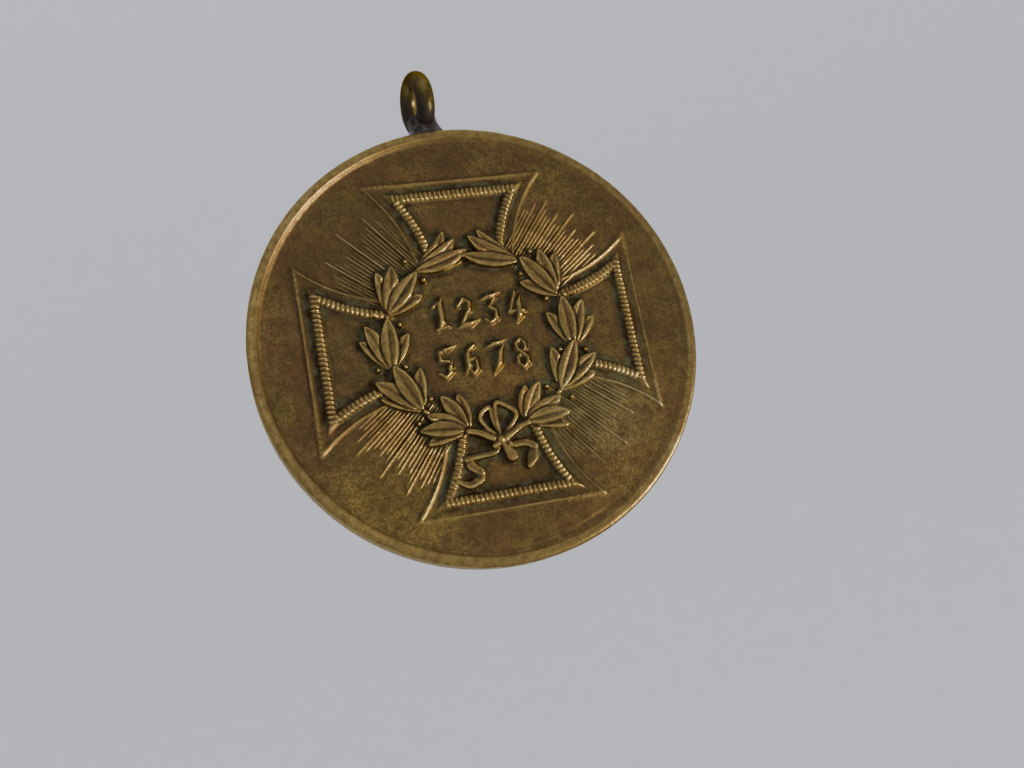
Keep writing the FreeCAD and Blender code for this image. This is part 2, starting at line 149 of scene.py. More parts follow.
class Relief:
    """Heights over one field, in millimetres, on a square grid."""

    def __init__(self, half, step):
        self.half, self.step = half, step
        ticks = np.arange(-half, half + step / 2, step)
        self.x, self.y = np.meshgrid(ticks, ticks)
        self.h = np.zeros_like(self.x)

    def window(self, x, y, reach):
        """The part of the grid within reach of a point."""
        def span(centre):
            first = int((centre - reach + self.half) / self.step)
            last = int((centre + reach + self.half) / self.step) + 2
            return slice(max(first, 0), max(last, 0))
        part = (span(y), span(x))
        return part, self.x[part], self.y[part]

    def over(self, part, height, cover):
        """Lays a shape over what is there; cover is 1 inside it and 0 outside."""
        self.h[part] = self.h[part] * (1 - cover) + height * cover

    def raise_to(self, part, height):
        self.h[part] = np.maximum(self.h[part], height)

    def leaf(self, root, bearing, length, width, level, bend=0.0, tilt=0.0):
        """A pointed leaf: a crease down its middle, a low vein on one side and raised edges."""
        c, s = math.cos(bearing), math.sin(bearing)
        middle = (root[0] + c * length / 2, root[1] + s * length / 2)
        part, x, y = self.window(*middle, length / 2 + 0.3)
        dx, dy = x - root[0], y - root[1]
        u = (dx * c + dy * s) / length
        inside = np.clip(u, 0.0, 1.0)
        half = width / 2 * LEAF_BELLY * inside ** LEAF_ROOT_POWER * (1 - inside) ** LEAF_TIP_POWER
        across = (-dx * s + dy * c) - 4 * bend * length * inside * (1 - inside)
        gap = np.where((u > 0) & (u < 1), half - np.abs(across), -1.0)
        self.h[part] *= 1 - LEAF_PRESS * smooth(1 + gap / MOAT)
        v = np.clip(across / np.maximum(half, 1e-3), -1, 1)
        cover = smooth(gap / WALL + WALL_OUTSIDE)
        crease = np.exp(-(v / 0.20) ** 2) * (1 - 0.6 * inside)
        vein = np.exp(-((v - 0.42) / 0.22) ** 2)
        dish = 0.76 + 0.24 * v ** 2 - 0.20 * crease + 0.10 * vein
        rise = 0.74 + 0.34 * inside + (tilt + LEAN * (LEE[0] * -s + LEE[1] * c)) * v
        self.over(part, level * dish * rise, cover)

    def berry(self, x, y, radius, level):
        part, gx, gy = self.window(x, y, radius * 1.3)
        q = ((gx - x) ** 2 + (gy - y) ** 2) / radius ** 2
        self.raise_to(part, level * np.sqrt(np.clip(1 - q, 0, 1)))

    def ray(self, root, tip, width, level):
        """A straight ridge that runs out to a point."""
        run = (tip[0] - root[0], tip[1] - root[1])
        length = math.hypot(*run)
        c, s = run[0] / length, run[1] / length
        part, x, y = self.window((root[0] + tip[0]) / 2, (root[1] + tip[1]) / 2, length / 2 + 0.2)
        u = ((x - root[0]) * c + (y - root[1]) * s) / length
        across = np.abs(-(x - root[0]) * s + (y - root[1]) * c)
        along = np.clip(u, 0, 1)
        half = width / 2 * (1 - RAY_TAPER * along)
        top = level * (1 - RAY_SINK * along ** 2)
        slope = top * (1 - across / half) * smooth((1 - u) * length / RAY_POINT) * (u > -0.02)
        self.raise_to(part, slope)

    def ribbon(self, points, widths, level, hollow=0.25, lean=0.0):
        """A ribbon along a smooth route, as wide along it as widths say; hollow dishes it between
        its edges, or crowns it where negative, and lean raises its lee side."""
        route = spline(points)
        half_widths = np.interp(np.linspace(0, 1, len(route)), np.linspace(0, 1, len(widths)),
                                widths) / 2
        low, high = route.min(0), route.max(0)
        middle, reach = (low + high) / 2, (high - low).max() / 2 + max(widths)
        part, x, y = self.window(*middle, reach)
        nearest = np.full(x.shape, 1e9)
        half = np.full(x.shape, half_widths[0])
        sided = np.zeros_like(x)
        for (px, py), (qx, qy), w in zip(route, route[1:], half_widths):
            ax, ay = qx - px, qy - py
            run = ax * ax + ay * ay
            t = np.clip(((x - px) * ax + (y - py) * ay) / run, 0, 1)
            gap = np.hypot(x - px - t * ax, y - py - t * ay)
            closer = gap / w < nearest / half
            nearest = np.where(closer, gap, nearest)
            half = np.where(closer, w, half)
            toward = (x - px - t * ax) * LEE[0] + (y - py - t * ay) * LEE[1]
            sided = np.where(closer, toward / w, sided)
        q = np.clip(nearest / half, 0, 1)
        self.h[part] *= 1 - RIBBON_PRESS * smooth(1 + (half - nearest) / MOAT)
        cover = smooth((half - nearest) / WALL + WALL_OUTSIDE)
        self.over(part, level * (1 - hollow * (1 - q ** 2) + lean * np.clip(sided, -1, 1)), cover)

    def chisel(self, start, end, width, level):
        """A raised stroke with a ridge along it; a broad one has ends cut at a slant."""
        run = (end[0] - start[0], end[1] - start[1])
        length = math.hypot(*run)
        d = (run[0] / length, run[1] / length)
        middle = ((start[0] + end[0]) / 2, (start[1] + end[1]) / 2)
        part, x, y = self.window(*middle, length / 2 + width + 0.3)
        dx, dy = x - middle[0], y - middle[1]
        beside = np.abs(dx * d[1] - dy * d[0])
        along = np.abs(dx * d[0] + dy * d[1])
        inner = width / 2 - np.hypot(beside, np.maximum(along - length / 2, 0))
        if width > NIB:
            beyond = abs(run[0] * NIB_CUT[1] - run[1] * NIB_CUT[0]) / 2
            past_end = np.abs(dx * NIB_CUT[1] - dy * NIB_CUT[0])
            inner = np.minimum(width / 2 - beside, beyond - past_end)
        steepness, foot, roundness = 1.9, 0.12, 0.9
        self.raise_to(part, level * np.clip(steepness * inner / NIB + foot, 0, 1) ** roundness)


def spline(points, steps=10):
    """A smooth curve through the points (Catmull-Rom)."""
    p = np.array([points[0], *points, points[-1]], float)
    out = []
    for a, b, c, d in zip(p, p[1:], p[2:], p[3:]):
        for t in np.arange(steps) / steps:
            out.append(0.5 * (2 * b + (c - a) * t + (2 * a - 5 * b + 4 * c - d) * t ** 2
                              + (3 * b - a - 3 * c + d) * t ** 3))
    out.append(p[-2])
    return np.array(out)


def polar(radius, degrees):
    return (radius * math.cos(math.radians(degrees)), radius * math.sin(math.radians(degrees)))


def inset_from_cross(x, y):
    """Distance inside the cross's outline; negative outside it."""
    swap = np.abs(x) > np.abs(y)
    along = np.where(swap, np.abs(x), np.abs(y))
    beside = np.where(swap, np.abs(y), np.abs(x))
    flare = np.hypot(beside - FLARE_X, along - FLARE_Y) - FLARE_RADIUS
    return np.minimum(CROSS_REACH - along, flare)


def bead_places():
    """Middle and bearing of the beads round the upper arm."""
    radius = FLARE_RADIUS + BAND_INSET
    reach = CROSS_REACH - BAND_INSET
    corner = FLARE_X - math.sqrt(radius ** 2 - (reach - FLARE_Y) ** 2)
    count = round(2 * corner / BEAD_PITCH)
    places = [(corner * (2 * i / count - 1), reach, 90.0) for i in range(count + 1)]
    step = BEAD_PITCH / radius
    corner_gap = 1.3                 # steps from the corner to the first bead on the hollow side
    bearing = math.atan2(reach - FLARE_Y, corner - FLARE_X) + corner_gap * step
    while True:
        x = FLARE_X + radius * math.cos(bearing)
        y = FLARE_Y + radius * math.sin(bearing)
        if math.hypot(x, y) < WREATH_RADIUS:
            return places
        degrees = math.degrees(bearing)
        places += [(x, y, degrees), (-x, y, 180 - degrees)]
        bearing += step


# ---- the obverse design ------------------------------------------------------------------------
# One branch grows up from the bow: how far round each cluster stands, and its leaves.  A leaf has
# its turn in from the stem, length, width, height and bend.
FOOT_LEAVES = ((65, 2.4, 0.95, 0.30, 0.02), (44, 2.85, 1.00, 0.34, 0.03),
               (-30, 2.75, 0.95, 0.31, 0.05), (10, 2.9, 1.00, 0.37, 0.02),
               (-13, 3.05, 1.05, 0.39, 0.04))
SIDE_LEAVES = ((46, 2.75, 1.00, 0.32, -0.04), (-27, 2.8, 0.98, 0.32, 0.06),
               (-8, 3.4, 1.10, 0.38, 0.03), (18, 3.5, 1.16, 0.41, 0.0))
TOP_LEAVES = ((-10, 3.5, 0.95, 0.31, 0.10), (33, 3.5, 0.95, 0.33, -0.02),
              (7, 3.7, 1.05, 0.37, 0.08), (22, 3.8, 1.05, 0.41, 0.04))
WREATH_CLUSTERS = ((17, FOOT_LEAVES), (47, SIDE_LEAVES), (76, SIDE_LEAVES),
                   (111, SIDE_LEAVES), (143, TOP_LEAVES))
BERRIES = ((5.2, 0.21), (6.9, 0.20))     # how far out a cluster's berries stand, and their radius


def draw_cross(relief):
    """The cross's outline, and the band that its beads stand on; both stop under the wreath."""
    inset = inset_from_cross(relief.x, relief.y)
    outside_wreath = smooth((np.hypot(relief.x, relief.y) - WREATH_RADIUS + 0.6) / 0.4)
    line = np.clip(1 - np.abs(inset) / OUTLINE_HALF_WIDTH, 0, 1) ** 0.85
    ledge = OUTLINE_LEDGE * smooth(1 - (inset - 0.02) / OUTLINE_LEDGE_WIDTH) * (inset > 0)
    relief.raise_to(slice(None), OUTLINE_HEIGHT * np.maximum(line, ledge) * outside_wreath)
    across = np.clip(np.abs(inset - BAND_INSET) / BAND_HALF_WIDTH, 0, 1)
    band = BAND_HEIGHT * (1 - across ** 2.2)
    relief.raise_to(slice(None), band * outside_wreath)


def draw_beads(relief, rng):
    """Ribs across the band, each a little uneven."""
    for arm in range(4):
        turn = math.radians(90 * arm)
        for x0, y0, degrees in bead_places():
            x = x0 * math.cos(turn) - y0 * math.sin(turn)
            y = x0 * math.sin(turn) + y0 * math.cos(turn)
            bearing = math.radians(degrees + rng.uniform(-4, 4)) + turn
            part, gx, gy = relief.window(x, y, BEAD_HALF_LONG + 2 * relief.step)
            along = (gx - x) * math.cos(bearing) + (gy - y) * math.sin(bearing)
            side = -(gx - x) * math.sin(bearing) + (gy - y) * math.cos(bearing)
            q = (np.abs(along) / BEAD_HALF_LONG) ** 2.6 + (side / BEAD_HALF_WIDE) ** 2
            rib = rng.uniform(*BEAD_HEIGHTS) * np.sqrt(np.clip(1 - q, 0, 1))
            relief.raise_to(part, (BAND_HEIGHT - BEAD_SINK + rib) * (q < 1))


def draw_rays(relief, rng):
    """Four bundles; the rays of each meet behind the centre, and three of them are long."""
    for corner in range(4):
        axis = 45 + 90 * corner
        apex = polar(RAY_APEX_BACK, axis + 180)
        for number in range(-RAYS_EACH_SIDE, RAYS_EACH_SIDE + 1):
            long_one = number % RAY_LONG_EVERY == 0
            if long_one:
                reach = RAY_LONG_REACH + 0.3 * (number == 0)
            else:
                reach = RAY_SHORT_REACH + 0.45 * (number % 3 == 0)
            reach += rng.uniform(-0.25, 0.25)
            bearing = axis + number * RAY_STEP_DEG + rng.uniform(-0.10, 0.10)
            root = polar(RAY_APEX_BACK + RAY_START, bearing)
            tip = polar(RAY_APEX_BACK + reach, bearing)
            level, width = (0.21, 0.21) if long_one else (rng.uniform(0.13, 0.19), 0.15)
            relief.ray((apex[0] + root[0], apex[1] + root[1]),
                       (apex[0] + tip[0], apex[1] + tip[1]), width, level)


def draw_wreath(relief, rng):
    """Two laurel branches that grow up from the bow, with berries on both sides."""
    radial = np.hypot(relief.x, relief.y)
    relief.h -= WREATH_TROUGH * smooth(1 - np.abs(radial - TROUGH_RADIUS) / TROUGH_REACH)
    for side in (-1, 1):
        stem = [polar(WREATH_RADIUS, -90 + side * a) for a in range(6, 150, 9)]
        relief.ribbon(stem, (0.36, 0.30, 0.26), 0.24, hollow=-0.2)
        for around, leaves in WREATH_CLUSTERS[::-1]:
            bearing = -90 + side * around
            beside_bow = around == WREATH_CLUSTERS[0][0]
            for ring, radius in BERRIES[:1] if beside_bow else BERRIES:
                where = polar(ring, bearing + side * rng.uniform(-4, 4))
                relief.berry(*where, radius, BERRY_HEIGHT)
            for turn_in, length, width, level, bend in leaves:
                root = polar(WREATH_RADIUS, bearing + side * rng.uniform(0, 2))
                growth = bearing + side * (90 + turn_in) + rng.uniform(-3, 3)
                relief.leaf(root, math.radians(growth), length * rng.uniform(0.96, 1.04),
                            width, level, side * bend, rng.uniform(-0.10, 0.10))


BOW_TAILS = (                    # each fold's route from the knot, and its widths
    (((-1.45, -1.72), (-1.72, -2.20), (-2.40, -2.50), (-3.15, -2.15)), (0.34, 0.62, 0.52, 0.24)),
    (((-2.28, -0.92), (-2.12, -1.35), (-1.62, -1.78)), (0.48, 0.62, 0.50)),
    (((-0.10, -0.25), (-0.55, -0.72), (-1.40, -0.80), (-2.38, -0.88)), (0.34, 0.46, 0.46, 0.40)),
    (((1.95, -0.72), (1.85, -1.25), (1.48, -1.92)), (0.50, 0.78, 0.30)),
    (((0.10, -0.25), (0.85, -0.42), (1.55, -0.42), (2.10, -0.72)), (0.34, 0.50, 0.52, 0.44)),
)
BOW_LOOPS = (
    ((-0.05, 0.1), (-0.75, 0.9), (-1.05, 1.50), (-0.85, 1.90), (-0.36, 2.1), (-0.26, 1.3),
     (-0.04, 0.4)),
    ((0.05, 0.1), (0.75, 0.75), (1.28, 1.45), (0.85, 2.00), (0.10, 2.36), (-0.04, 1.4),
     (0.02, 0.4)),
)


def draw_bow(relief, foot, size):
    """A ribbon bow: two curling tails, two upright loops, two stems, a hanging end and a knot."""
    def scaled(points, side=1):
        return [(side * size * x, foot + size * y) for x, y in points]

    for route, widths in BOW_TAILS:
        relief.ribbon(scaled(route), [size * w for w in widths], 0.30, hollow=0.10, lean=0.36)
    for loop in BOW_LOOPS:
        relief.ribbon(scaled(loop), [size * w for w in (0.30, 0.34, 0.36, 0.34, 0.26)], 0.30,
                      hollow=0.05, lean=0.30)
    for side in (-1, 1):
        relief.ribbon(scaled(((-0.45, -0.32), (0.35, 0.05), (1.25, 0.58), (1.9, 0.80)), side),
                      [0.46 * size] * 2, 0.36, hollow=-0.1, lean=0.25)
    relief.ribbon(scaled(((0.08, -0.3), (0.52, -1.12))), [0.30 * size, 0.86 * size], 0.36,
                  hollow=-0.25, lean=0.2)
    relief.berry(0.0, foot, 0.36 * size, 0.52)


DIGITS = {          # strokes on a grid 1.25 wide and 2.25 high: from, to and width; thick and thin
    "1": ((0.22, 1.64, 0.56, 1.92, 0.30), (0.66, 2.16, 0.66, 0.20, 0.56),
          (0.30, 0.14, 1.02, 0.30, 0.26)),
    "2": ((0.18, 1.52, 0.56, 1.98, 0.32), (0.56, 1.98, 0.92, 1.70, 0.38),
          (0.92, 1.70, 0.84, 1.22, 0.44), (0.84, 1.22, 0.24, 0.34, 0.32),
          (0.10, 0.28, 1.20, 0.28, 0.46)),
    "3": ((0.14, 1.94, 1.12, 1.94, 0.46), (1.00, 1.86, 0.56, 1.26, 0.28),
          (0.56, 1.24, 0.92, 0.96, 0.38), (0.92, 0.96, 0.88, 0.48, 0.44),
          (0.88, 0.48, 0.48, 0.18, 0.32), (0.48, 0.18, 0.14, 0.48, 0.30)),
    "4": ((0.70, 2.06, 0.20, 0.82, 0.32), (0.14, 0.76, 1.14, 0.76, 0.34),
          (0.80, 1.66, 0.80, 0.12, 0.54)),
    "5": ((0.24, 1.94, 1.14, 1.94, 0.46), (0.32, 1.84, 0.32, 1.30, 0.40),
          (0.34, 1.28, 0.80, 1.20, 0.30), (0.86, 1.12, 0.88, 0.54, 0.46),
          (0.88, 0.50, 0.50, 0.18, 0.32), (0.50, 0.18, 0.14, 0.46, 0.30)),
    "6": ((0.94, 2.04, 0.48, 1.70, 0.30), (0.40, 1.80, 0.40, 0.40, 0.52),
          (0.40, 0.46, 0.66, 0.18, 0.32), (0.92, 0.98, 0.92, 0.50, 0.42),
          (0.92, 0.50, 0.66, 0.18, 0.30), (0.46, 1.08, 0.84, 1.20, 0.28)),
    "7": ((0.12, 1.94, 1.16, 1.94, 0.46), (1.00, 1.84, 0.58, 0.16, 0.54)),
    "8": ((0.62, 2.06, 0.32, 1.74, 0.30), (0.32, 1.74, 0.34, 1.42, 0.36),
          (0.34, 1.42, 0.92, 0.84, 0.42), (0.92, 0.84, 0.92, 0.48, 0.40),
          (0.92, 0.48, 0.60, 0.18, 0.30), (0.60, 0.18, 0.28, 0.50, 0.30),
          (0.28, 0.50, 0.30, 0.84, 0.34), (0.30, 0.84, 0.90, 1.42, 0.26),
          (0.90, 1.42, 0.90, 1.76, 0.34), (0.90, 1.76, 0.62, 2.06, 0.30)),
}


def draw_numerals(relief):
    """Two lines of four, each with its middle and its foot."""
    for digits, centre, foot in (("1234", 0.18, 0.76), ("5678", -0.02, -2.42)):
        for place, digit in enumerate(digits):
            left = centre + (place - 2) * NUMERAL_PITCH + (NUMERAL_PITCH - NUMERAL_WIDTH) / 2
            for x0, y0, x1, y1, thick in DIGITS[digit]:
                relief.chisel((left + x0, foot + y0), (left + x1, foot + y1),
                              NUMERAL_WEIGHT * thick, NUMERAL_HEIGHT)


def obverse_relief():
    rng = np.random.default_rng(18)
    relief = Relief(RELIEF_HALF, 0.03)
    draw_cross(relief)
    draw_beads(relief, rng)
    draw_rays(relief, rng)
    draw_wreath(relief, rng)
    draw_bow(relief, BOW_FOOT, 1.0)
    draw_numerals(relief)
    relief.h = blurred(relief.h, 0.9)
    return relief


def reverse_relief():
    """A plain field inside a slim laurel wreath, with a small bow at its foot."""
    rng = np.random.default_rng(7)
    relief = Relief(RELIEF_HALF, 0.05)
    radius = 10.1
    leaves = ((-32, 2.1, 0.80, 0.20), (34, 2.1, 0.80, 0.20), (0, 2.6, 0.86, 0.26))
    for side in (-1, 1):
        stem = [polar(radius, -90 + side * a) for a in range(3, 160, 6)]
        relief.ribbon(stem, (0.28, 0.24, 0.18), 0.15, hollow=-0.2)
        for around in range(10, 160, 12):
            bearing = -90 + side * around
            for turn_in, length, width, level in leaves:
                growth = bearing + side * (90 + turn_in) + rng.uniform(-3, 3)
                relief.leaf(polar(radius, bearing), math.radians(growth), length, width, level,
                            side * 0.03)
            relief.berry(*polar(radius - 0.8, bearing + side * 4), 0.17, 0.24)
    draw_bow(relief, -radius - 0.05, 0.78)
    relief.h = blurred(relief.h, 0.8)
    return relief


# ---- the struck disc's mesh ----------------------------------------------------------------------
def columns(radius, gap, most):
    """How many points a ring of this radius has, for about this gap between them."""
    count = 72
    while count < most and 2 * math.pi * radius / count > gap:
        count *= 2
    return count


def rim_profile():
    """(radius, height) from the foot of the rim over its crest and part of the way down the edge."""
    points = []
    cove_width, brow = 0.58, 0.03    # the brow is the rounding between the cove and the crest
    for t in np.linspace(0, 1, 10)[:-1]:
        rise = 0.35 * t ** 2 + 0.65 * t ** 4
        points.append((RIM_FOOT + cove_width * t, FIELD + (CREST - brow - FIELD) * rise))
    points.append((RIM_FOOT + cove_width + brow, CREST - brow / 2))
    points.append((CREST_RADIUS, CREST))
    for t in np.linspace(0, 1, 7):
        a = t * math.pi / 2
        points.append((DISC_RADIUS - SHOULDER + SHOULDER * math.sin(a),
                       CREST - SHOULDER + SHOULDER * math.cos(a)))
    points.append((DISC_RADIUS, EDGE_RING))
    return points


def stitch(first, first_count, second, second_count):
    """Faces between two rings; the second may have as many points, twice as many or half."""
    i = np.arange(max(first_count, second_count))
    if first_count == second_count:
        j = (i + 1) % first_count
        return np.stack([first + i, first + j, second + j, second + i], 1).tolist()
    if second_count == 2 * first_count:
        i = np.arange(first_count)
        j = (i + 1) % first_count
        left, mid, right = second + 2 * i, second + 2 * i + 1, second + 2 * j
        a = np.stack([first + i, mid, left], 1).tolist()
        b = np.stack([first + i, first + j, mid], 1).tolist()
        c = np.stack([first + j, right, mid], 1).tolist()
        return a + b + c
    return [face[::-1] for face in stitch(second, second_count, first, first_count)]


def sample(grid, relief, x, y):
    """Bilinear reading of a grid at face-frame points."""
    fx = np.clip((x + relief.half) / relief.step, 0, grid.shape[1] - 1.001)
    fy = np.clip((y + relief.half) / relief.step, 0, grid.shape[0] - 1.001)
    ix, iy = fx.astype(int), fy.astype(int)
    tx, ty = fx - ix, fy - iy
    top = grid[iy, ix] * (1 - tx) + grid[iy, ix + 1] * tx
    low = grid[iy + 1, ix] * (1 - tx) + grid[iy + 1, ix + 1] * tx
    return top * (1 - ty) + low * ty


def uneven(x, y, z, size, seed):
    """Smooth noise about zero, with features of the given size in millimetres."""
    return np.array([noise.noise(Vector((a / size + seed, b / size, c / size)))
                     for a, b, c in zip(x, y, z)])


class Surface:
    """Collects rings of points with their masks of grime and painted shade and of wear and painted
    highlight, then makes one closed mesh.
    """

    def __init__(self):
        self.points, self.cavity, self.worn, self.starts, self.counts = [], [], [], [], []
        self.total = 0

    def ring(self, x, y, z, cavity, worn):
        self.starts.append(self.total)
        self.counts.append(len(x))
        self.points.append(np.stack([x, y, z], 1))
        self.cavity.append(cavity)
        self.worn.append(worn)
        self.total += len(x)

    def faces(self):
        out = []
        first = self.starts[1]
        n = self.counts[1]
        out += [[0, first + (i + 1) % n, first + i] for i in range(n)]
        for a in range(1, len(self.starts) - 2):
            out += [f[::-1] for f in stitch(self.starts[a], self.counts[a],
                                            self.starts[a + 1], self.counts[a + 1])]
        last = self.starts[-1]
        ring, n = self.starts[-2], self.counts[-2]
        out += [[last, ring + i, ring + (i + 1) % n] for i in range(n)]
        return out


# Grime and wear are read from how far the relief lies below or above blurred copies of itself,
# and from how high it is.  The copies are moved a little up and to the left, away from the key
# light, so the grime mask also paints shade on the upper-left sides of the relief and the wear mask
# paints highlights on its lower-right edges.  All are in millimetres.
FINE_BLUR, NEAR_BLUR, WIDE_BLUR = 0.10, 0.16, 0.38
FINE_MOVE, WIDE_MOVE = 0.05, 0.09
NEAR_DEPTH, WIDE_DEPTH = 0.09, 0.11      # below the copy by this much is full of grime and painted shade
WEAR_RISE = 0.060                        # above the fine copy by this much is worn and painted highlit
HIGH_FROM, HIGH_OVER = 0.16, 0.12        # high relief starts here, and is fully so this much up
HIGH_WEAR = 0.46
FRONT_GAP, BACK_GAP = 0.045, 0.09        # between the points of a ring


def shifted_from_light(grid, distance, step):
    """The grid moved up and to the left, away from the key light, so that relief stands proud of it
    on its lower right; the masks read from it carry painted shade and highlight.
    """
    steps = max(1, round(distance / step))
    return np.roll(grid, (steps, -steps), (0, 1))


def face_rings(surface, relief, front, radii):
    """Rings over one field.  The obverse is read turned; the reverse is seen from behind."""
    step = relief.step
    fine = shifted_from_light(blurred(relief.h, FINE_BLUR / step), FINE_MOVE, step)
    near = shifted_from_light(blurred(relief.h, NEAR_BLUR / step), WIDE_MOVE, step)
    wide = shifted_from_light(blurred(relief.h, WIDE_BLUR / step), WIDE_MOVE, step)
    # Grime in hollows, and painted shade on the upper-left sides of the relief, away from the key
    # light.
    below = np.maximum((wide - relief.h) / WIDE_DEPTH, (near - relief.h) / NEAR_DEPTH)
    cavity_grid = np.clip(below, 0, 1)
    high = smooth((relief.h - HIGH_FROM) / HIGH_OVER)
    # Wear on high relief, and a painted highlight on the lower-right edges that face the key light.
    worn_grid = np.clip((relief.h - fine) / WEAR_RISE - 0.2 + HIGH_WEAR * high, 0, 1)
    for radius in radii:
        most = 2 * RIM_POINTS if front and radius < FINE_RADIUS else RIM_POINTS
        count = 1 if radius == 0 else columns(radius, FRONT_GAP if front else BACK_GAP, most)
        angle = 2 * math.pi * np.arange(count) / count
        x, z = radius * np.cos(angle), radius * np.sin(angle)
        if front:
            u = x - STRIKE_SHIFT[0]
            v = z - STRIKE_SHIFT[1]
            c, s = math.cos(DESIGN_TURN), math.sin(DESIGN_TURN)
            u, v = u * c - v * s, u * s + v * c
        else:
            u, v = -x, z
        basin = FIELD_DISH * (1 - (radius / RIM_FOOT) ** 2)
        h = sample(relief.h, relief, u, v) * (radius < RELIEF_END) - basin
        h = h + FIELD_SWELL * np.sin(x * 0.9 + 1.0) * np.cos(z * 0.7 - 0.4)
        y = FIELD + h
        surface.ring(x, -y if front else y, z, sample(cavity_grid, relief, u, v),
                     sample(worn_grid, relief, u, v))


def struck_surface():
    """The obverse from its middle out, the two rims and the edge, and the reverse back in."""
    surface = Surface()
    front_radii = [0, *np.arange(0.05, 8.3, 0.048), *np.arange(8.35, 11.7, 0.06),
                   *np.arange(11.8, RIM_FOOT, 0.15)]
    back_radii = [0, *np.arange(0.10, 7.6, 0.15), *np.arange(7.65, 12.9, 0.11),
                  *np.arange(13.0, RIM_FOOT, 0.12)]
    face_rings(surface, obverse_relief(), True, front_radii)
    profile = rim_profile()
    angle = 2 * math.pi * np.arange(RIM_POINTS) / RIM_POINTS
    walk = [(r, h, 1) for r, h in profile] + [(r, h, -1) for r, h in profile[::-1]]
    for r, h, side in walk:
        x, z = r * np.cos(angle), r * np.sin(angle)
        y = np.full(RIM_POINTS, -side * h)
        dented = smooth(np.array((r - RIM_FOOT) / 0.3)) if h > EDGE_RING else 0.3
        dent = (0.020 * uneven(x, y, z, 2.6, 3.0) + 0.014 * uneven(x, y, z, 0.55, 8.0)) * dented
        inward = 1 - abs(dent) / DISC_RADIUS * 0.6
        x, z = x * inward, z * inward
        y = y * (1 - np.clip(np.abs(dent) / CREST, 0, 0.03))
        crest = math.exp(-((r - CREST_RADIUS) / 0.17) ** 2) if h > FIELD - 0.1 else 0.0
        shoulder = float(smooth(np.array((r - CREST_RADIUS) / 0.2)))
        wear_and_highlight = 0.05 + 0.45 * max(crest, shoulder)
        # The foot of the rim is made darker all round, through the grime-and-shade mask.
        foot = 0.30 * math.exp(-((r - RIM_FOOT - 0.25) / 0.18) ** 2)
        surface.ring(x, y, z, np.full(RIM_POINTS, foot), np.full(RIM_POINTS, wear_and_highlight))
    face_rings(surface, reverse_relief(), False, back_radii[::-1])
    return surface


def put_mesh(name, points_mm, faces, centre, **masks):
    """An object from millimetre points about a centre, smooth shaded, with its masks."""
    mesh = bpy.data.meshes.new(name)
    where = np.asarray(points_mm) * MM + np.array(centre)
    mesh.from_pydata(where.tolist(), [], faces)
    for mask, values in masks.items():
        layer = mesh.attributes.new(mask, "FLOAT", "POINT")
        layer.data.foreach_set("value", np.asarray(values, np.float32))
    mesh.polygons.foreach_set("use_smooth", [True] * len(mesh.polygons))
    mesh.update()
    piece = bpy.data.objects.new(name, mesh)
    bpy.context.scene.collection.objects.link(piece)
    return piece


def make_struck_medal():
    surface = struck_surface()
    return put_mesh("struck_medal", np.concatenate(surface.points), surface.faces(), DISC_CENTRE,
                    cavity=np.concatenate(surface.cavity), worn=np.concatenate(surface.worn))


# ---- ring and solder -------------------------------------------------------------------------------
RING_MEAN = 1.6
RING_WIRE = 0.62                 # the wire's radius
RING_YAW = math.radians(9.5)
SOLDER_SINK = 0.32               # of its foot, below the top of the disc
SOLDER_TOP = -1.15
SOLDER_NECK = 0.98               # half its width where it meets the wire
SOLDER_SPREAD = 1.15             # how much more its foot has
SOLDER_DEPTH = 1.06              # the most that it has from front to back, halved


def make_ring():
    """Round wire, a little uneven, and rubbed thin at the top of the eye, where a ribbon pulls; its
    right side carries a painted highlight, its inner and left sides painted shade.
    a goes round the ring from its front, and b round the wire from its outside."""
    around, section = 160, 48
    points, worn, cavity = [], [], []
    for i in range(around):
        a = 2 * math.pi * i / around
        radial = Vector((math.sin(RING_YAW) * math.cos(a), -math.cos(RING_YAW) * math.cos(a),
                         math.sin(a)))
        axis = Vector((math.cos(RING_YAW), math.sin(RING_YAW), 0))
        for j in range(section):
            b = 2 * math.pi * j / section
            wire = RING_WIRE * (1 + 0.012 * noise.noise(Vector((3 * a, 2 * b, 0.0))))
            top = max(0.0, math.sin(a)) ** 4 * max(0.0, -math.cos(b)) ** 2
            out = RING_MEAN + wire * math.cos(b) * (1 - 0.10 * top)
            point = radial * out + axis * (wire * math.sin(b))
            points.append(tuple(point))
            # Painted highlight: the right side of the wire, towards the key light, is marked as worn.
            right = max(0.0, math.sin(b) * 0.92 - math.cos(b) * 0.30) ** 1.5
            mid_height = smooth(np.array(1.3 - abs(math.sin(a) + 0.1) * 1.5))
            worn.append(0.5 * top + right * mid_height)
            # Painted shade on the wire's inner side and its left side, and solder stain on its low
            # part near the foot.
            inner = max(0.0, -math.cos(b)) * (1 - 0.8 * right)
            low = smooth(np.array((-point.z - 0.3) / 1.3))
            left = max(0.0, -math.sin(b)) ** 1.5 * smooth(np.array(1.1 - math.sin(a)))
            grime_and_shade = 0.8 * inner * smooth(np.array(1.5 - math.sin(a))) + low + 0.7 * left
            cavity.append(min(1.0, grime_and_shade) * (1 - 0.9 * min(1.0, right) * (1 - low)))
    faces = []
    for i in range(around):
        for j in range(section):
            a, b = i * section, ((i + 1) % around) * section
            k = (j + 1) % section
            faces.append([a + j, b + j, b + k, a + k])
    return put_mesh("ring", points, faces, (0, 0, 0), cavity=cavity, worn=worn)


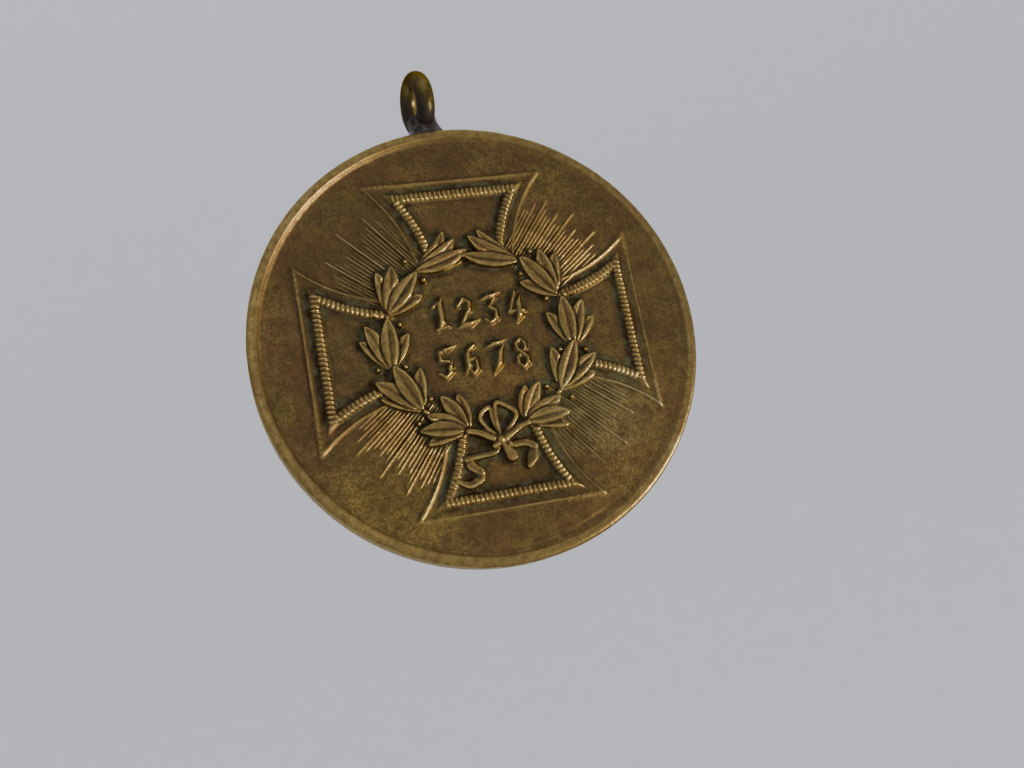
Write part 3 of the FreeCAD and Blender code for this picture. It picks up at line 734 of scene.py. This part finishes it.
def make_solder():
    """A lumpy saddle between the edge and the foot of the ring."""
    around, up = 96, 26
    foot = DISC_CENTRE.z / MM + DISC_RADIUS - SOLDER_SINK
    points = []
    for j in range(up + 1):
        t = j / up
        z = foot + (SOLDER_TOP - foot) * t
        flare = SOLDER_NECK + SOLDER_SPREAD * (1 - t) ** 3.4
        for i in range(around):
            a = 2 * math.pi * i / around
            c, s = math.cos(a), math.sin(a)
            wide = flare * (1 + 0.08 * c)
            deep = min(flare, SOLDER_DEPTH - 0.16 * t)
            lump = 1 + 0.10 * noise.noise(Vector((1.6 * c, 1.6 * s, 1.4 * z + 2.0)))
            drop = (wide * c * lump) ** 2 / (2 * DISC_RADIUS)
            points.append((wide * c * lump, deep * s * lump, z - drop * (1 - t)))
    faces = []
    for j in range(up):
        for i in range(around):
            k = (i + 1) % around
            a, b = j * around, (j + 1) * around
            faces.append([a + i, a + k, b + k, b + i])
    faces.append(list(range(around))[::-1])
    faces.append([up * around + i for i in range(around)])
    return put_mesh("solder", points, faces, (0, 0, 0))


# ---- materials -----------------------------------------------------------------------------------
class Nodes:
    """Short calls for building a material's node tree."""

    def __init__(self, name):
        self.material = bpy.data.materials.new(name)
        self.material.use_nodes = True
        self.tree = self.material.node_tree
        self.shader = self.tree.nodes["Principled BSDF"]
        self.coords = self.add("ShaderNodeTexCoord").outputs["Object"]

    def add(self, kind, **settings):
        node = self.tree.nodes.new(kind)
        for key, value in settings.items():
            setattr(node, key, value)
        return node

    def link(self, source, target):
        self.tree.links.new(source, target)

    def mask(self, name):
        return self.add("ShaderNodeAttribute", attribute_name=name).outputs["Fac"]

    def stretched(self, scale):
        node = self.add("ShaderNodeMapping")
        node.inputs["Scale"].default_value = scale
        self.link(self.coords, node.inputs["Vector"])
        return node.outputs["Vector"]

    def noise(self, size_mm, detail=4.0, roughness=0.55, vector=None, distortion=0.0):
        node = self.add("ShaderNodeTexNoise")
        node.inputs["Scale"].default_value = 1 / (size_mm * MM)
        node.inputs["Detail"].default_value = detail
        node.inputs["Roughness"].default_value = roughness
        node.inputs["Distortion"].default_value = distortion
        self.link(vector or self.coords, node.inputs["Vector"])
        return node.outputs["Fac"]

    def spot(self, centre_mm, radius_mm):
        """1 at a place on the faces, given by x and z, falling to 0 at the radius; ragged."""
        x, _, z = self.split_coords()
        gap_x = self.math_free("SUBTRACT", x, centre_mm[0] * MM)
        gap_z = self.math_free("SUBTRACT", z, centre_mm[1] * MM)
        square = self.math_free("ADD", self.math_free("MULTIPLY", gap_x, gap_x),
                                self.math_free("MULTIPLY", gap_z, gap_z))
        far = self.math_free("DIVIDE", self.math_free("SQRT", square, 0.0), radius_mm * MM)
        wander = self.ramp(self.noise(1.8, 5.0, 0.65), 0.3, 0.7, -0.3, 0.3)
        return self.ramp(self.math_free("ADD", far, wander), 0.35, 1.0, 1.0, 0.0)

    def split_coords(self):
        node = self.add("ShaderNodeSeparateXYZ")
        self.link(self.coords, node.inputs[0])
        return node.outputs

    def math_free(self, operation, a, b):
        """As math, but never clamped."""
        result = self.math(operation, a, b)
        result.node.use_clamp = False
        return result

    def ramp(self, value, low, high, to_low=0.0, to_high=1.0):
        node = self.add("ShaderNodeMapRange")
        node.interpolation_type = "SMOOTHSTEP"
        for key, number in (("From Min", low), ("From Max", high), ("To Min", to_low),
                            ("To Max", to_high)):
            node.inputs[key].default_value = number
        self.link(value, node.inputs["Value"])
        return node.outputs["Result"]

    def math(self, operation, a, b):
        node = self.add("ShaderNodeMath", operation=operation)
        node.use_clamp = operation in ("ADD", "SUBTRACT", "MULTIPLY")
        for socket, value in zip(node.inputs, (a, b)):
            if isinstance(value, (int, float)):
                socket.default_value = value
            else:
                self.link(value, socket)
        return node.outputs[0]

    def mix(self, factor, a, b):
        node = self.add("ShaderNodeMix", data_type="RGBA")
        self.link(factor, node.inputs["Factor"])
        for socket, value in ((node.inputs[6], a), (node.inputs[7], b)):
            if isinstance(value, tuple):
                socket.default_value = (*value, 1)
            else:
                self.link(value, socket)
        return node.outputs[2]

    def bump(self, height, strength, distance_mm, normal=None):
        node = self.add("ShaderNodeBump")
        node.inputs["Strength"].default_value = strength
        node.inputs["Distance"].default_value = distance_mm * MM
        self.link(height, node.inputs["Height"])
        if normal:
            self.link(normal, node.inputs["Normal"])
        return node.outputs["Normal"]


# Bronze is a brown with olive and red patches.  Then come places coloured darker than the rest, and a
# few lighter, each with its middle's x and z, its radius, how strongly it shows, and its colour.
DARK_BRONZE = (0.162, 0.098, 0.038)
LIGHT_BRONZE = (0.240, 0.165, 0.052)
OLIVE = (0.235, 0.190, 0.046)
RED_BROWN = (0.190, 0.082, 0.040)
BLOTCH = (0.078, 0.054, 0.024)
SPECK = (0.066, 0.043, 0.022)
GRAIN = (0.066, 0.042, 0.022)
WORN_AND_HIGHLIT_BRONZE = (0.430, 0.300, 0.098)
PAINTED_RAY_HIGHLIGHT = (0.640, 0.530, 0.260)
GRIME_AND_SHADE = (0.026, 0.019, 0.012)
VERDIGRIS = (0.058, 0.066, 0.034)
LIGHTER_AND_DARKER_PLACES = (
    ((-8.6, -27.0), 4.6, 0.60, (0.330, 0.240, 0.058)),
    ((-8.5, -8.5), 7.5, 0.45, (0.088, 0.054, 0.026)),
    ((1.0, -28.3), 4.4, 0.35, (0.110, 0.076, 0.026)),
    ((-8.3, -17.2), 3.4, 0.45, (0.090, 0.050, 0.026)),
    ((0.8, -26.2), 2.8, 0.50, (0.110, 0.056, 0.018)),
    ((0.4, -21.2), 2.6, 0.50, (0.270, 0.150, 0.040)),
    ((0.3, -2.9), 3.2, 0.32, (0.085, 0.066, 0.032)),
    ((6.6, -23.4), 4.6, 0.45, (0.300, 0.260, 0.100)),
    ((-6.6, -23.4), 3.6, 0.35, (0.100, 0.066, 0.026)),
    ((14.0, -17.0), 6.0, 0.30, (0.090, 0.068, 0.036)),
)


def bronze_colour(n, worn, cavity):
    """The patches, the lighter and darker places, then the fine mottling, with wear, painted
    highlights, grime and painted shade over all of them.
    """
    patches = n.ramp(n.noise(4.5, 4.0, 0.60), 0.36, 0.62)
    blotches = n.ramp(n.noise(1.10, 5.0, 0.68), 0.42, 0.64)
    specks = n.ramp(n.noise(0.34, 4.0, 0.70, distortion=0.5), 0.44, 0.62)
    grain = n.noise(0.16, 4.0, 0.80)
    red = n.ramp(n.noise(1.3, 5.0, 0.68, distortion=0.8), 0.50, 0.66)
    olive = n.ramp(n.noise(2.1, 5.0, 0.66, distortion=0.5), 0.50, 0.66)
    colour = n.mix(patches, DARK_BRONZE, LIGHT_BRONZE)
    colour = n.mix(n.math("MULTIPLY", olive, 0.65), colour, OLIVE)
    colour = n.mix(n.math("MULTIPLY", red, 0.60), colour, RED_BROWN)
    for centre, radius, strength, tone in LIGHTER_AND_DARKER_PLACES:
        colour = n.mix(n.math("MULTIPLY", n.spot(centre, radius), strength), colour, tone)
    colour = n.mix(n.math("MULTIPLY", blotches, 0.55), colour, BLOTCH)
    colour = n.mix(n.math("MULTIPLY", specks, 0.58), colour, SPECK)
    colour = n.mix(n.ramp(grain, 0.38, 0.62, 0.0, 0.70), colour, GRAIN)
    # Wear, and painted highlight on the edges that face the key light.
    wear_and_highlight = n.math("MULTIPLY", worn, n.ramp(n.noise(0.5, 4.0), 0.30, 0.62, 0.35, 1.0))
    colour = n.mix(n.math("MULTIPLY", wear_and_highlight, 0.85), colour, WORN_AND_HIGHLIT_BRONZE)
    # Painted highlight: the crests of the rays in the lower-right and upper-left bundles, which lie
    # along the key light, are painted pale.
    lower_right, upper_left = n.spot((7.5, -24.5), 4.0), n.spot((-7.3, -9.7), 3.8)
    ray_highlight_places = n.math("ADD", lower_right, n.math("MULTIPLY", upper_left, 0.7))
    ray_highlight = n.math("MULTIPLY", n.math("MULTIPLY", worn, ray_highlight_places), 0.65)
    colour = n.mix(ray_highlight, colour, PAINTED_RAY_HIGHLIGHT)
    # Grime in hollows, with painted shade on the upper-left sides of the relief, and darker at the
    # foot of the rim.
    grime_and_shade = n.ramp(cavity, 0.12, 0.75)
    colour = n.mix(n.math("MULTIPLY", grime_and_shade, 0.74), colour, GRIME_AND_SHADE)
    return colour, wear_and_highlight, grime_and_shade, grain


def bronze_material():
    """Toned bronze: brown and olive patches, brass-bright wear with painted highlights, grime and
    verdigris in hollows with painted shade.
    """
    n = Nodes("toned_bronze")
    cavity, worn = n.mask("cavity"), n.mask("worn")
    colour, wear_and_highlight, grime_and_shade, grain = bronze_colour(n, worn, cavity)
    spread = n.math("ADD", n.ramp(n.noise(0.60, 5.0, 0.70), 0.40, 0.66),
                    n.math("MULTIPLY", n.spot((6.4, -23.6), 4.4), 0.55))
    # Verdigris follows the same mask, so it also lies on the painted-shade sides.
    green = n.math("MULTIPLY", n.ramp(cavity, 0.28, 0.70), spread)
    colour = n.mix(n.math("MULTIPLY", green, 0.80), colour, VERDIGRIS)
    n.link(colour, n.shader.inputs["Base Color"])
    n.link(n.math("SUBTRACT", 1.0, n.math("MULTIPLY", green, 0.8)), n.shader.inputs["Metallic"])
    n.shader.inputs["Specular Tint"].default_value = (0.80, 0.68, 0.46, 1)
    rough = n.math("ADD", n.ramp(grain, 0.3, 0.7, 0.34, 0.54), n.math("MULTIPLY", grime_and_shade, 0.25))
    rough = n.math("SUBTRACT", rough, n.math("MULTIPLY", wear_and_highlight, 0.28))
    n.link(rough, n.shader.inputs["Roughness"])
    scratches = n.noise(0.22, 3.0, 0.6, vector=n.stretched((1.0, 1.0, 0.06)))
    normal = n.bump(scratches, 0.35, 0.010)
    normal = n.bump(n.noise(0.10, 3.0, 0.6), 0.55, 0.020, normal)
    normal = n.bump(n.noise(0.7, 4.0, 0.6), 0.35, 0.07, normal)
    n.link(normal, n.shader.inputs["Normal"])
    return n.material


DARK_BRASS = (0.070, 0.052, 0.018)
LIGHT_BRASS = (0.165, 0.122, 0.034)
WORN_AND_HIGHLIT_BRASS = (0.520, 0.385, 0.125)
STAIN_AND_SHADE = (0.026, 0.022, 0.020)


def ring_material():
    """Dark drawn brass wire, worn at the top of the eye, with a painted highlight on its right side,
    painted shade on its inner and left sides, and solder stain at its foot.
    """
    n = Nodes("ring_wire")
    cavity, worn = n.mask("cavity"), n.mask("worn")
    colour = n.mix(n.ramp(n.noise(1.2, 5.0), 0.36, 0.64), DARK_BRASS, LIGHT_BRASS)
    wear_and_highlight = n.math("MULTIPLY", worn, n.ramp(n.noise(0.5), 0.3, 0.6, 0.6, 1.0))
    colour = n.mix(wear_and_highlight, colour, WORN_AND_HIGHLIT_BRASS)
    stain_and_shade = n.math("MULTIPLY", cavity, n.ramp(n.noise(0.6, 5.0), 0.20, 0.50, 0.5, 1.0))
    colour = n.mix(stain_and_shade, colour, STAIN_AND_SHADE)
    n.link(colour, n.shader.inputs["Base Color"])
    n.link(n.math("SUBTRACT", 1.0, n.math("MULTIPLY", cavity, 0.40)), n.shader.inputs["Metallic"])
    n.shader.inputs["Specular Tint"].default_value = (0.45, 0.36, 0.20, 1)
    n.shader.inputs["Specular IOR Level"].default_value = 0.25
    rough = n.ramp(n.noise(0.3, 4.0), 0.3, 0.7, 0.24, 0.36)
    n.link(n.math("ADD", rough, n.math("MULTIPLY", cavity, 0.10)), n.shader.inputs["Roughness"])
    n.link(n.bump(n.noise(0.25, 4.0, 0.6), 0.35, 0.02), n.shader.inputs["Normal"])
    return n.material


DARK_SOLDER = (0.026, 0.021, 0.026)
BARE_SOLDER = (0.085, 0.072, 0.074)
BROWN_TARNISH = (0.055, 0.038, 0.022)


def solder_material():
    """Old tin-lead solder: dark grey with brown and violet tarnish, lumpy."""
    n = Nodes("old_solder")
    bare = n.ramp(n.noise(0.8, 5.0), 0.36, 0.62)
    colour = n.mix(bare, DARK_SOLDER, BARE_SOLDER)
    colour = n.mix(n.ramp(n.noise(1.1, 3.0), 0.44, 0.62), colour, BROWN_TARNISH)
    n.link(colour, n.shader.inputs["Base Color"])
    n.shader.inputs["Metallic"].default_value = 1.0
    n.link(n.ramp(bare, 0.0, 1.0, 0.58, 0.36), n.shader.inputs["Roughness"])
    normal = n.bump(n.noise(0.5, 4.0), 0.6, 0.06)
    n.link(n.bump(n.noise(0.12, 3.0), 0.4, 0.02, normal), n.shader.inputs["Normal"])
    return n.material


# ---- build the pieces ----------------------------------------------------------------------------
RELIEF_NODES = [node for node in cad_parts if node.startswith(("obverse_", "reverse_"))]

medal = make_struck_medal()
medal.data.materials.append(bronze_material())
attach(medal, "root")
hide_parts("struck_disc", *RELIEF_NODES)

ring = make_ring()
ring.data.materials.append(ring_material())
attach(ring, "root")
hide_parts("suspension_ring")

solder = make_solder()
solder.data.materials.append(solder_material())
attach(solder, "root")
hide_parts("solder_joint")


# ---- stage, lights and camera --------------------------------------------------------------------
def plain_material(name, colour):
    """One colour, and a slightly darker one that comes and goes."""
    n = Nodes(name)
    shade = n.mix(n.noise(9.0, 3.0), colour, tuple(c * 0.965 for c in colour))
    n.link(shade, n.shader.inputs["Base Color"])
    n.shader.inputs["Roughness"].default_value = 0.9
    return n.material


def make_stage():
    """A pale floor well below the hanging medal, curving up into a wall all round."""
    floor_level, flat, bend, wall = -0.17, 0.34, 0.24, 0.42
    profile = [(flat * 0.5, floor_level), (flat, floor_level)]
    steps = 12
    for i in range(1, steps + 1):
        a = math.radians(90 * i / steps)
        profile.append((flat + bend * math.sin(a), floor_level + bend * (1 - math.cos(a))))
    profile.append((flat + bend, floor_level + bend + wall))
    around = 96
    points = [(r * math.cos(2 * math.pi * i / around), r * math.sin(2 * math.pi * i / around), z)
              for r, z in profile for i in range(around)]
    faces = [[j * around + i, (j + 1) * around + i,
              (j + 1) * around + (i + 1) % around, j * around + (i + 1) % around]
             for j in range(len(profile) - 1) for i in range(around)]
    faces.append(list(range(around)))
    mesh = bpy.data.meshes.new("floor")
    mesh.from_pydata(points, [], faces)
    mesh.polygons.foreach_set("use_smooth", [True] * len(mesh.polygons))
    mesh.materials.append(plain_material("pale_floor", (0.89, 0.89, 0.90)))
    floor = bpy.data.objects.new("floor", mesh)
    bpy.context.scene.collection.objects.link(floor)


def area_light(name, direction, distance, size, power, colour, spread):
    """A round lamp that looks at the disc's centre; spread is its cone in degrees."""
    lamp = bpy.data.lights.new(name, "AREA")
    lamp.shape = "DISK"
    lamp.size = size
    lamp.energy = power
    lamp.color = colour
    lamp.spread = math.radians(spread)
    where = bpy.data.objects.new(name, lamp)
    bpy.context.scene.collection.objects.link(where)
    away = Vector(direction).normalized()
    where.location = DISC_CENTRE + away * distance
    where.rotation_mode = "QUATERNION"
    where.rotation_quaternion = away.to_track_quat("Z", "Y")
    where.visible_camera = False


def make_lights():
    """A small warm key light from the lower right, a broad fill in front, and a pale surround."""
    area_light("key", (0.74, -0.53, -0.42), 0.26, 0.036, 0.074, (1.0, 0.85, 0.62), 60)
    area_light("fill", (-0.2, -0.9, 0.3), 0.40, 0.30, 0.10, (1.0, 0.97, 0.92), 180)
    world = bpy.data.worlds.new("studio")
    world.use_nodes = True
    background = world.node_tree.nodes["Background"]
    background.inputs["Color"].default_value = (0.90, 0.94, 1.0, 1)
    background.inputs["Strength"].default_value = 1.02
    bpy.context.scene.world = world


def make_camera():
    """A close view from the lower left, about 63 mm from the disc."""
    camera = bpy.data.cameras.new("camera")
    camera.lens = 35.16
    camera.sensor_width = 36
    camera.clip_start, camera.clip_end = 0.002, 5.0
    view = bpy.data.objects.new("camera", camera)
    bpy.context.scene.collection.objects.link(view)
    right = Vector((0.9470, -0.1996, -0.2516))
    forward = Vector((0.2512, 0.9485, 0.1928)).normalized()
    up = right.cross(forward).normalized()
    right = forward.cross(up)
    turn = Matrix((right, up, -forward)).transposed()
    offset = Vector((-14.72, -59.81 - CREST, -15.62)) * MM
    view.matrix_world = Matrix.Translation(DISC_CENTRE + offset) @ turn.to_4x4()
    bpy.context.scene.camera = view


make_stage()
make_lights()
make_camera()
